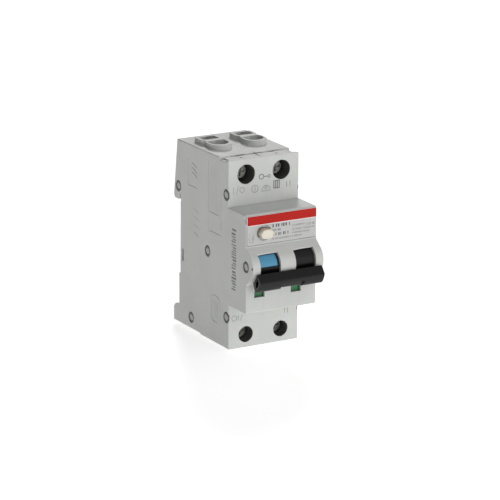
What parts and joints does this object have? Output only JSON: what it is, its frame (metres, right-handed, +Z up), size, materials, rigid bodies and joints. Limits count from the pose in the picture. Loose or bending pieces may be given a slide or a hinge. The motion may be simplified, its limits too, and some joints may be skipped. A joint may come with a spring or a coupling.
{
  "type": "residual current device",
  "caption": "Two-module rail-mounted residual current device with overcurrent release, joined toggle handle, test button, position flags and lift terminals.",
  "frame": {"origin": "middle of the device's width, on the plane that rests against the rail's lips, at the height of the rail's centre", "axes": "+Z up, +Y into the rail and the panel, -Y towards the user, +X to the user's right"},
  "size_m": [0.035, 0.0758, 0.0883],
  "materials": {
    "housing_plastic": "fine-grained light grey moulding",
    "rail_clip_plastic": "light grey moulding",
    "printed_label": "smooth printed strip with a red band",
    "rivet_steel": "dull zinc plate",
    "black_plastic": "satin black moulding",
    "blue_plastic": "satin blue moulding",
    "flag_plastic": "green moulding",
    "button_plastic": "smooth cream moulding",
    "spring_steel": "bright drawn wire",
    "terminal_steel": "zinc-plated steel",
    "magnet_steel": "plain stamped steel",
    "copper": "bare copper",
    "wire_insulation": "soft insulated wire",
    "bimetal": "rolled strip",
    "brown_plastic": "brown moulding",
    "circuit_board": "lacquered board"
  },
  "bodies": {
    "housing": {"left_cover": "housing_plastic", "left_base": "housing_plastic", "right_base": "housing_plastic", "right_cover": "housing_plastic", "label_plate": "printed_label", "hook_rivet": "rivet_steel", "upper_shoulder_rivet": "rivet_steel", "middle_rivet": "rivet_steel", "toggle_axle_rivet": "rivet_steel", "foot_rivet": "rivet_steel", "lower_shoulder_rivet": "rivet_steel", "toggle_spring": "spring_steel", "phase_contact_pin": "spring_steel", "neutral_contact_pin": "spring_steel", "phase_fixed_contact": "copper", "neutral_fixed_contact": "copper", "phase_braid": "copper", "neutral_braid": "copper", "phase_contact_spring": "spring_steel", "upper_phase_terminal_plate": "copper", "lower_phase_terminal_plate": "copper", "upper_neutral_terminal_plate": "copper", "lower_neutral_terminal_plate": "copper", "magnet_coil": "copper", "magnet_yoke": "magnet_steel", "plunger_spring": "spring_steel", "arc_chute": "magnet_steel", "toroid": "brown_plastic", "circuit_board": "circuit_board", "trip_relay": "black_plastic", "neutral_wire": "wire_insulation", "phase_wire": "wire_insulation", "left_clip_spring": "spring_steel", "right_clip_spring": "spring_steel"},
    "toggle": {"left_drum": "black_plastic", "right_drum": "black_plastic", "blue_drum_inlay": "blue_plastic", "handle_bar": "black_plastic"},
    "phase_link": {"phase_drive_link": "spring_steel"},
    "neutral_link": {"neutral_drive_link": "spring_steel"},
    "phase_contact_arm": {"phase_moving_contact": "copper"},
    "neutral_contact_arm": {"neutral_moving_contact": "copper"},
    "left_flag": {"left_position_flag": "flag_plastic"},
    "right_flag": {"right_position_flag": "flag_plastic"},
    "test_button": {"test_button": "button_plastic"},
    "test_leaf": {"test_contact_leaf": "bimetal"},
    "magnet_plunger": {"magnet_plunger": "magnet_steel"},
    "bimetal": {"bimetal_strip": "bimetal"},
    "trip_shaft": {"trip_shaft": "brown_plastic"},
    "relay_plunger": {"relay_plunger": "spring_steel"},
    "left_clip": {"left_rail_clip": "rail_clip_plastic"},
    "right_clip": {"right_rail_clip": "rail_clip_plastic"},
    "upper_phase_screw": {"upper_phase_terminal_screw": "terminal_steel"},
    "upper_phase_cage": {"upper_phase_terminal_cage": "terminal_steel"},
    "upper_neutral_screw": {"upper_neutral_terminal_screw": "terminal_steel"},
    "upper_neutral_cage": {"upper_neutral_terminal_cage": "terminal_steel"},
    "lower_phase_screw": {"lower_phase_terminal_screw": "terminal_steel"},
    "lower_phase_cage": {"lower_phase_terminal_cage": "terminal_steel"},
    "lower_neutral_screw": {"lower_neutral_terminal_screw": "terminal_steel"},
    "lower_neutral_cage": {"lower_neutral_terminal_cage": "terminal_steel"}
  },
  "joints": [
    {"name": "toggle_turn", "type": "hinge", "parent": "housing", "child": "toggle", "pos_m": [0, -0.0592, -0.001], "axis": [-1, 0, 0], "range_deg": [0, 82]},
    {"name": "phase_link_pivot", "type": "hinge", "parent": "toggle", "child": "phase_link", "pos_m": [-0.00875, -0.05663, 0.00123], "axis": [1, 0, 0], "range_deg": [0, 83]},
    {"name": "phase_arm_pivot", "type": "hinge", "parent": "housing", "child": "phase_contact_arm", "pos_m": [-0.00875, -0.042, -0.009], "axis": [1, 0, 0], "range_deg": [0, 38.5], "deforming": ["phase_braid"]},
    {"name": "neutral_link_pivot", "type": "hinge", "parent": "toggle", "child": "neutral_link", "pos_m": [0.00875, -0.05663, 0.00123], "axis": [1, 0, 0], "range_deg": [0, 83]},
    {"name": "neutral_arm_pivot", "type": "hinge", "parent": "housing", "child": "neutral_contact_arm", "pos_m": [0.00875, -0.042, -0.009], "axis": [1, 0, 0], "range_deg": [0, 38.5], "deforming": ["neutral_braid"]},
    {"name": "left_flag_slide", "type": "slide", "parent": "housing", "child": "left_flag", "axis": [0, 0, -1], "range_m": [0, 0.00325]},
    {"name": "right_flag_slide", "type": "slide", "parent": "housing", "child": "right_flag", "axis": [0, 0, -1], "range_m": [0, 0.00325]},
    {"name": "test_button_press", "type": "slide", "parent": "housing", "child": "test_button", "axis": [0, 1, 0], "range_m": [0, 0.002], "stiffness_N_per_m": 80, "springref_m": -0.001},
    {"name": "test_leaf_bend", "type": "hinge", "parent": "housing", "child": "test_leaf", "pos_m": [-0.0085, -0.046, 0.0018], "axis": [-1, 0, 0], "range_deg": [0, 10.5]},
    {"name": "upper_phase_screw_turn", "type": "hinge", "parent": "housing", "child": "upper_phase_screw", "pos_m": [-0.00875, -0.036, 0.0356], "axis": [0, 1, 0], "range_deg": [0, 3155]},
    {"name": "upper_phase_cage_lift", "type": "slide", "parent": "housing", "child": "upper_phase_cage", "axis": [0, -1, 0], "range_m": [0, 0.007]},
    {"name": "upper_neutral_screw_turn", "type": "hinge", "parent": "housing", "child": "upper_neutral_screw", "pos_m": [0.00875, -0.036, 0.0356], "axis": [0, 1, 0], "range_deg": [0, 3155]},
    {"name": "upper_neutral_cage_lift", "type": "slide", "parent": "housing", "child": "upper_neutral_cage", "axis": [0, -1, 0], "range_m": [0, 0.007]},
    {"name": "lower_phase_screw_turn", "type": "hinge", "parent": "housing", "child": "lower_phase_screw", "pos_m": [-0.00875, -0.036, -0.0366], "axis": [0, 1, 0], "range_deg": [0, 3155]},
    {"name": "lower_phase_cage_lift", "type": "slide", "parent": "housing", "child": "lower_phase_cage", "axis": [0, -1, 0], "range_m": [0, 0.007]},
    {"name": "lower_neutral_screw_turn", "type": "hinge", "parent": "housing", "child": "lower_neutral_screw", "pos_m": [0.00875, -0.036, -0.0366], "axis": [0, 1, 0], "range_deg": [0, 3155]},
    {"name": "lower_neutral_cage_lift", "type": "slide", "parent": "housing", "child": "lower_neutral_cage", "axis": [0, -1, 0], "range_m": [0, 0.007]},
    {"name": "magnet_plunger_stroke", "type": "slide", "parent": "housing", "child": "magnet_plunger", "axis": [0, 0, -1], "range_m": [0, 0.0022], "stiffness_N_per_m": 30, "springref_m": -0.002, "deforming": ["plunger_spring"]},
    {"name": "bimetal_bend", "type": "hinge", "parent": "housing", "child": "bimetal", "pos_m": [-0.00875, -0.0099, -0.0272], "axis": [1, 0, 0], "range_deg": [0, 2.5], "stiffness_Nm_per_rad": 0.02},
    {"name": "relay_plunger_stroke", "type": "slide", "parent": "housing", "child": "relay_plunger", "axis": [0, 1, 0], "range_m": [0, 0.0012], "stiffness_N_per_m": 50, "springref_m": -0.0005},
    {"name": "trip_shaft_turn", "type": "hinge", "parent": "housing", "child": "trip_shaft", "pos_m": [0, -0.041, 0.003], "axis": [-1, 0, 0], "range_deg": [0, 19]},
    {"name": "left_clip_release", "type": "slide", "parent": "housing", "child": "left_clip", "axis": [0, 0, -1], "range_m": [0, 0.0035], "stiffness_N_per_m": 400, "springref_m": -0.001, "deforming": ["left_clip_spring"]},
    {"name": "right_clip_release", "type": "slide", "parent": "housing", "child": "right_clip", "axis": [0, 0, -1], "range_m": [0, 0.0035], "stiffness_N_per_m": 400, "springref_m": -0.001, "deforming": ["right_clip_spring"]}
  ],
  "couplings": [
    {"joint": "phase_link_pivot", "follows": "toggle_turn", "ratio": 1},
    {"joint": "phase_arm_pivot", "follows": "toggle_turn", "ratio": 0.46342},
    {"joint": "neutral_link_pivot", "follows": "toggle_turn", "ratio": 1},
    {"joint": "neutral_arm_pivot", "follows": "toggle_turn", "ratio": 0.46342},
    {"joint": "left_flag_slide", "follows": "toggle_turn", "m_per_rad": 0.0022359},
    {"joint": "right_flag_slide", "follows": "toggle_turn", "m_per_rad": 0.0022359},
    {"joint": "test_leaf_bend", "follows": "test_button_press", "rad_per_m": 89.3},
    {"joint": "upper_phase_screw_turn", "follows": "upper_phase_cage_lift", "rad_per_m": 7854},
    {"joint": "upper_neutral_screw_turn", "follows": "upper_neutral_cage_lift", "rad_per_m": 7854},
    {"joint": "lower_phase_screw_turn", "follows": "lower_phase_cage_lift", "rad_per_m": 7854},
    {"joint": "lower_neutral_screw_turn", "follows": "lower_neutral_cage_lift", "rad_per_m": 7854},
    {"joint": "trip_shaft_turn", "follows": "relay_plunger_stroke", "rad_per_m": 275}
  ]
}
